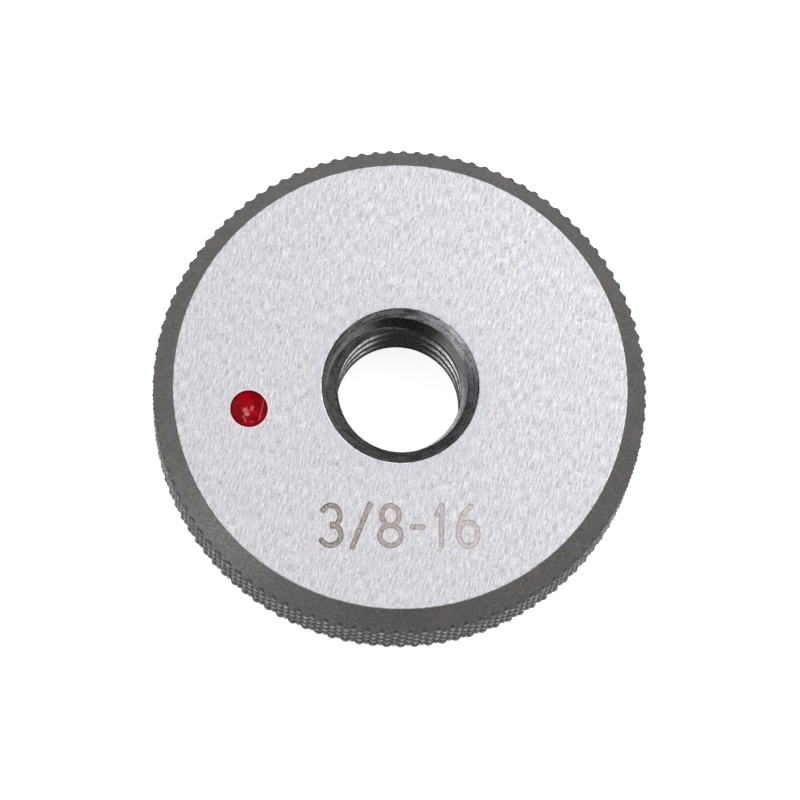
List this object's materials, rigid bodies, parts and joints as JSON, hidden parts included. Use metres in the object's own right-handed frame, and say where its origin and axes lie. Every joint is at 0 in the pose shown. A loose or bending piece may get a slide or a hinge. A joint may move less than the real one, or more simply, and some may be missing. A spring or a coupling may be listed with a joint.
{
  "type": "thread ring gauge",
  "caption": "Solid knurled steel ring with an internal 3/8-16 thread, chamfered rim, ground faces and a red dot that marks the no-go member.",
  "frame": {"origin": "on the bore axis, in the plane of the back face that the ring lies on", "axes": "+Z along the bore axis out of the marked face, +Y up as the mark on that face reads, +X to its right; the red dot lies towards -X"},
  "size_m": [0.032, 0.032, 0.008],
  "materials": {
    "tool_steel": "satin",
    "red_enamel": "gloss"
  },
  "bodies": {
    "root": {"ring_body": "tool_steel", "enamel_dot": "red_enamel"}
  },
  "joints": []
}
